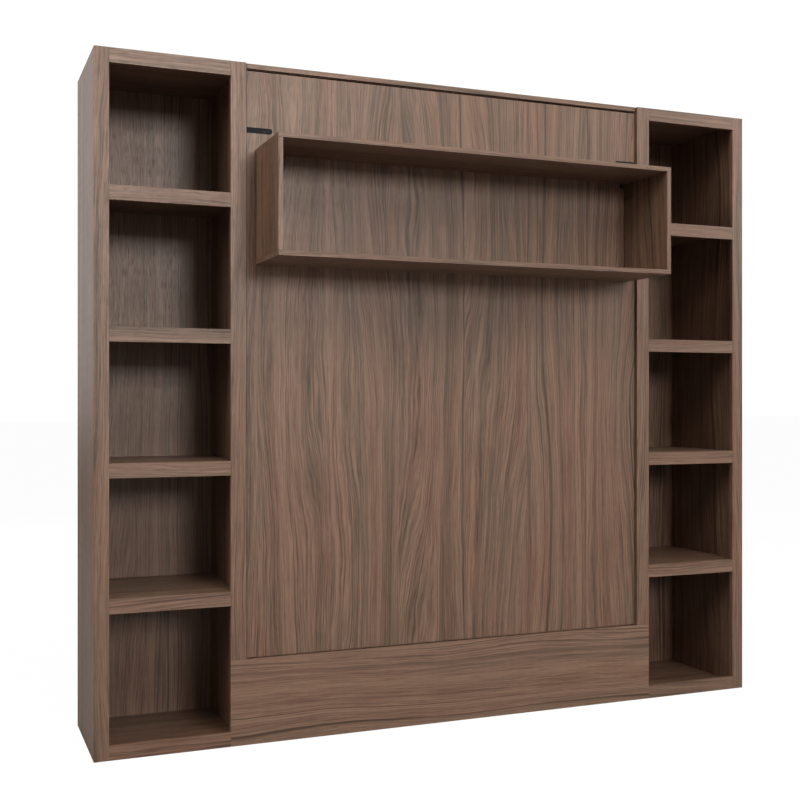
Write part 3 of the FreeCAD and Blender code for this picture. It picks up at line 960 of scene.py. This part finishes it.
@dataclass
class MattressStraps:
    """Two webbing straps round the mattress, each with its stitching and buckle."""

    width: float = 0.040
    thickness: float = 0.0018
    side: float = 0.6885
    bend: float = 0.036
    segments: int = 6
    hem: float = 0.045
    stitch: float = 0.0036
    thread: float = 0.00035
    buckle_half: float = 0.025

    def path(self) -> list[Vector]:
        """Returns the middle line of a strap, seen along z, from its left tab to its right one."""
        low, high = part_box("mattress_straps")
        half = 0.001
        side, top, foot = self.side, high.y - half - 0.0003, low.y + half
        tab = high.x
        corners = [(-tab, foot), (-side, foot), (-side, top), (side, top), (side, foot), (tab, foot)]
        bends = [0.0, 0.004, self.bend, self.bend, 0.004, 0.0]
        line = []
        for k, (corner, bend) in enumerate(zip(corners, bends)):
            here = Vector((*corner, 0.0))
            if not bend:
                line.append(here)
                continue
            back = (Vector((*corners[k - 1], 0.0)) - here).normalized() * bend
            ahead = (Vector((*corners[k + 1], 0.0)) - here).normalized() * bend
            for step in range(self.segments + 1):
                t = step / self.segments
                line.append(here + back * (1 - t) ** 2 + ahead * t ** 2)
        dense = []
        for first, second in zip(line, line[1:]):
            parts = max(1, round((second - first).length / 0.02))
            dense += [first.lerp(second, k / parts) for k in range(parts)]
        return dense + [line[-1]]

    def band(
        self, name: str, centre: float, width: float, thickness: float, path: list[Vector]
    ) -> Piece:
        """Makes a flat band along a path.

        Args:
            name: the piece's name.
            centre: its middle in z.
            width: its width in z.
            thickness: its thickness.
            path: its middle line.

        Returns:
            The piece.
        """
        piece = Piece(name)
        rings = []
        edge = width / 2
        flat = edge - 0.0012
        section = [(-edge, 0.0), (-flat, -0.5), (flat, -0.5), (edge, 0.0), (flat, 0.5), (-flat, 0.5)]
        for k, point in enumerate(path):
            forward = (path[min(k + 1, len(path) - 1)] - path[max(k - 1, 0)]).normalized()
            out = Vector((-forward.y, forward.x, 0.0))
            rings.append([point + out * (share * thickness) + Vector((0, 0, centre + z)) for z, share in section])
        piece.loft(rings)
        return piece

    def build(self, plastic: bpy.types.Material) -> None:
        """Builds the straps, their stitching and their buckles."""
        low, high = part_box("mattress_straps")
        width, half = self.width, self.width / 2
        centres = (low.z + half, high.z - half)
        dark, worn = (0.020, 0.021, 0.024), (0.055, 0.056, 0.060)
        webbing = Webbing("strap_webbing", dark, worn, centres, half).build()
        thread = Webbing("strap_thread", (0.30, 0.30, 0.31), (0.45, 0.45, 0.46), centres, half).build()
        path = self.path()
        length = sum((b - a).length for a, b in zip(path, path[1:]))
        stitches = Piece("strap_stitching")
        buckles = Piece("strap_buckle_set")
        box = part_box("strap_buckles")
        for name, centre in zip(("strap_head", "strap_foot"), centres):
            band = self.band(name, centre, width, self.thickness, path)
            strap = band.place("bed", webbing, "strap_webbing", 180.0)
            if name == "strap_head":
                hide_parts("mattress_straps")
            self.sew(stitches, centre, high.y, box[0].x)
            self.buckle(buckles, centre, box)
        stitches.place("bed", thread, "strap_webbing")
        made = buckles.place("bed", plastic, "black_plastic")
        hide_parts("strap_buckles")

    def sew(self, stitches: Piece, centre: float, top: float, start: float) -> None:
        """Adds the box of stitches beside a buckle.

        Args:
            stitches: the piece that they go in.
            centre: the strap's middle in z.
            top: the strap's upper face.
            start: where the buckle starts in x.
        """
        y = top - 0.0002
        left, right, half = start - self.hem, start - 0.008, 0.013
        runs = [
            ((left, -half), (right, -half)),
            ((right, -half), (right, half)),
            ((right, half), (left, half)),
            ((left, half), (left, -half)),
            ((left, -half), (right, half)),
            ((left, half), (right, -half)),
        ]
        for (x0, z0), (x1, z1) in runs:
            count = max(3, round(math.dist((x0, z0), (x1, z1)) / self.stitch))
            for k in range(count):
                t0, t1 = (k + 0.15) / count, (k + 0.85) / count
                a = Vector((x0 + (x1 - x0) * t0, y, centre + z0 + (z1 - z0) * t0))
                b = Vector((x0 + (x1 - x0) * t1, y, centre + z0 + (z1 - z0) * t1))
                stitches.tube([a, a.lerp(b, 0.5) + Vector((0, 0.0002, 0)), b], self.thread, 5)

    def buckle(self, buckles: Piece, centre: float, box: tuple[Vector, Vector]) -> None:
        """Adds a cam buckle: a frame, its pressed lid and a ribbed thumb bar.

        Args:
            buckles: the piece that it goes in.
            centre: the strap's middle in z.
            box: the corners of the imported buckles.
        """
        x0, x1 = box[0].x, box[1].x
        y0, y1 = box[0].y + 0.0001, box[1].y
        z0, z1 = centre - self.buckle_half, centre + self.buckle_half
        part = Piece("part")
        part.slab((x0, y0, z0), (x1, y1 - 0.0016, z0 + 0.006))
        part.slab((x0, y0, z1 - 0.006), (x1, y1 - 0.0016, z1))
        part.slab((x0, y0, z0 + 0.0055), (x0 + 0.007, y1 - 0.0018, z1 - 0.0055))
        part.slab((x1 - 0.007, y0, z0 + 0.0055), (x1, y1 - 0.0018, z1 - 0.0055))
        part.slab((x0 + 0.020, y0 + 0.0004, z0 + 0.0068), (x1 - 0.012, y1 - 0.0008, z1 - 0.0068))
        for k in range(5):
            x = x1 - 0.028 + k * 0.0032
            part.slab((x, y1 - 0.0010, z0 + 0.010), (x + 0.0014, y1, z1 - 0.010))
        part.bevel(0.0005, 2)
        data = bpy.data.meshes.new("part")
        part.mesh.to_mesh(data)
        part.mesh.free()
        buckles.mesh.from_mesh(data)
        bpy.data.meshes.remove(data)


@dataclass
class Fasteners:
    """Screws and bolts that hold the hardware."""

    def rows(self) -> dict[str, tuple[str, TurnedProfile, list[tuple[Point, Axis]]]]:
        """Returns each set: its body, its profile, and where each one sits."""
        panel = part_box("front_panel")
        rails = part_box("wall_rails")
        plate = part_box("pivot_plates")
        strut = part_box("strut_upper_brackets")
        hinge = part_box("shelf_hinge_brackets")
        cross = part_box("crossbars")
        both = ((-1, Axis.RIGHT), (1, Axis.LEFT))
        rows = (rails[0].z + 0.05, rails[1].z - 0.05)
        wall = [((x, rails[0].y, z), Axis.FRONT) for x in (-0.6, 0.6) for z in rows]
        plates = []
        for side, way in both:
            x = side * (plate[1].x - 0.003)
            for y in (plate[0].y + 0.014, plate[1].y - 0.016):
                for z in (plate[0].z + 0.016, plate[1].z - 0.016):
                    plates.append(((x, y, z), way))
        upper = [((side * (strut[1].x - 0.003), (strut[0].y + strut[1].y) / 2, z), way)
                 for side, way in both for z in (strut[0].z + 0.009, strut[1].z - 0.009)]
        flange = [((side * (hinge[1].x - 0.025), panel[1].y + 0.003, z), Axis.BACK)
                  for side in (-1, 1) for z in (hinge[0].z + 0.010, hinge[1].z - 0.010)]
        bars = [((x, cross[1].y, z), Axis.BACK) for x in (-0.55, -0.18, 0.18, 0.55)
                for z in (cross[0].z + 0.020, cross[1].z - 0.020)]
        return {
            "wall_bolts": ("cabinet", hex_bolt(0.0085, 0.0085, 0.014), wall),
            "pivot_plate_screws": ("cabinet", socket_screw(0.0062, 0.0030), plates),
            "strut_bracket_screws": ("cabinet", socket_screw(0.0048, 0.0024), upper),
            "shelf_hinge_screws": ("bed", socket_screw(0.0045, 0.0022), flange),
            "crossbar_screws": ("bed", socket_screw(0.0058, 0.0028), bars),
        }

    def build(self, steel: bpy.types.Material) -> int:
        """Builds every set.

        Args:
            steel: their finish.

        Returns:
            How many fasteners there are.
        """
        total = 0
        for name, (body, profile, spots) in self.rows().items():
            piece = Piece(name)
            for centre, way in spots:
                piece.turned(profile, centre, way)
            piece.place(body, steel, "zinc_steel", 35.0)
            total += len(spots)
        return total


# ---------------------------------------------------------------- studio


@dataclass(frozen=True)
class SoftLight:
    """A square soft light that shows in gloss but not itself."""

    name: str
    place: Point
    target: Point
    size: float
    power: float

    def build(self) -> None:
        """Builds the light."""
        data = bpy.data.lights.new(self.name, "AREA")
        data.shape = "SQUARE"
        data.size = self.size
        data.energy = self.power
        made = linked(self.name, data)
        made.location = self.place
        made.rotation_euler = (Vector(self.target) - Vector(self.place)).to_track_quat("-Z", "Y").to_euler()
        made.visible_camera = False


@dataclass
class Studio:
    """Camera, pale floor, white surroundings and soft lights."""

    lens: float = 51.34
    camera_place: Point = (-1.650, -3.648, 1.102)
    camera_turn: float = -22.074
    ambient: float = 0.075
    gloss: float = 1.05
    floor_glow: float = 0.92
    glow_strength: float = 1.06
    floor_reach: float = 60.0

    def camera(self) -> None:
        """Makes the camera."""
        data = bpy.data.cameras.new("camera")
        data.lens = self.lens
        data.sensor_width = 36.0
        data.clip_end = 200.0
        made = linked("camera", data)
        made.location = self.camera_place
        made.rotation_euler = (math.pi / 2, 0.0, math.radians(self.camera_turn))
        bpy.context.scene.camera = made

    def floor(self) -> None:
        """Makes the floor."""
        piece = Piece("floor")
        reach = self.floor_reach
        edges = [[(x, -reach, 0.0), (x, reach, 0.0)] for x in (-reach, reach)]
        piece.loft(edges, closed=False, capped=False)
        made = piece.release()
        maker = NodeMaker("floor")
        x, y, z = maker.place()
        cloud = maker.noise(maker.join(x * 0.8, y * 0.8, z), 3.0)
        colour = maker.mix(cloud, (0.42, 0.42, 0.42), (0.46, 0.46, 0.46))
        matt = maker.node("ShaderNodeBsdfDiffuse", inputs={"Color": colour}, output="BSDF")
        light = {"Color": (1.0, 1.0, 1.0, 1.0), "Strength": self.glow_strength}
        glow = maker.node("ShaderNodeEmission", inputs=light)
        seen = maker.node("ShaderNodeLightPath", output="Is Camera Ray") * self.floor_glow
        maker.node_output(maker.node("ShaderNodeMixShader", inputs={0: seen, 1: matt, 2: glow}))
        made.data.materials.append(maker.material)

    def surroundings(self) -> None:
        """Makes the white surroundings."""
        world = bpy.data.worlds.new("surroundings")
        world.use_nodes = True
        tree = world.node_tree
        tree.nodes.clear()
        path = tree.nodes.new("ShaderNodeLightPath")
        strength = tree.nodes.new("ShaderNodeMapRange")
        strength.inputs["To Min"].default_value = self.ambient
        strength.inputs["To Max"].default_value = self.gloss
        either = tree.nodes.new("ShaderNodeMath")
        either.operation = "MAXIMUM"
        back = tree.nodes.new("ShaderNodeBackground")
        end = tree.nodes.new("ShaderNodeOutputWorld")
        tree.links.new(path.outputs["Is Camera Ray"], either.inputs[0])
        tree.links.new(path.outputs["Is Glossy Ray"], either.inputs[1])
        tree.links.new(either.outputs[0], strength.inputs["Value"])
        back.inputs["Color"].default_value = (1.0, 1.0, 1.0, 1.0)
        tree.links.new(strength.outputs[0], back.inputs["Strength"])
        tree.links.new(back.outputs[0], end.inputs["Surface"])
        bpy.context.scene.world = world

    def build(self) -> None:
        """Builds the whole studio."""
        scene = bpy.context.scene
        scene.view_settings.view_transform = "Standard"
        self.camera()
        self.floor()
        self.surroundings()
        lights = (
            SoftLight("front_light", (1.4, -13.8, 4.6), (0.0, 0.0, 1.0), 3.0, 800.0),
            SoftLight("left_light", (-5.2, -1.8, 3.4), (0.0, -0.1, 1.1), 2.6, 165.0),
            SoftLight("right_light", (5.2, -1.8, 3.4), (0.0, -0.1, 1.1), 2.6, 165.0),
            SoftLight("top_light", (-0.4, -4.2, 5.6), (0.0, -0.1, 1.1), 2.4, 150.0),
            SoftLight("back_light", (0.6, 6.5, 3.4), (0.0, 0.0, 1.1), 2.4, 190.0),
        )
        for light in lights:
            light.build()


# ---------------------------------------------------------------- helpers on whole objects


def points_of(made: bpy.types.Object) -> np.ndarray:
    """Returns an object's points as rows of x, y and z."""
    flat = np.empty(len(made.data.vertices) * 3)
    made.data.vertices.foreach_get("co", flat)
    return flat.reshape(-1, 3)


def put_points(made: bpy.types.Object, points: np.ndarray) -> None:
    """Gives an object's mesh its points."""
    made.data.vertices.foreach_set("co", points.astype(np.float32).ravel())
    made.data.update()


def settle(made: bpy.types.Object) -> bpy.types.Object:
    """Applies an object's modifiers.

    Args:
        made: the object.

    Returns:
        The same object with the result as its mesh.
    """
    depsgraph = bpy.context.evaluated_depsgraph_get()
    data = bpy.data.meshes.new_from_object(made.evaluated_get(depsgraph))
    made.modifiers.clear()
    old, made.data = made.data, data
    bpy.data.meshes.remove(old)
    return made


def main() -> None:
    """Builds every sub-assembly in order."""
    logging.basicConfig(level=logging.INFO, format="%(name)s: %(message)s")
    nodes = frame["nodes"]
    Studio().build()
    LOG.info("studio built")
    LOG.info("%d laminated boards dressed", Boards().build(nodes))
    finishes = Hardware().build(nodes)
    LOG.info("%d hardware finishes", len(finishes))
    strap_low, strap_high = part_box("mattress_straps")
    Mattress(straps=(strap_low.z + 0.02, strap_high.z - 0.02)).build(finishes["zinc_steel"])
    LOG.info("mattress built")
    MattressStraps().build(finishes["black_plastic"])
    LOG.info("straps and buckles built")
    LOG.info("%d fasteners placed", Fasteners().build(finishes["zinc_steel"]))


if __name__ == "__main__":
    main()
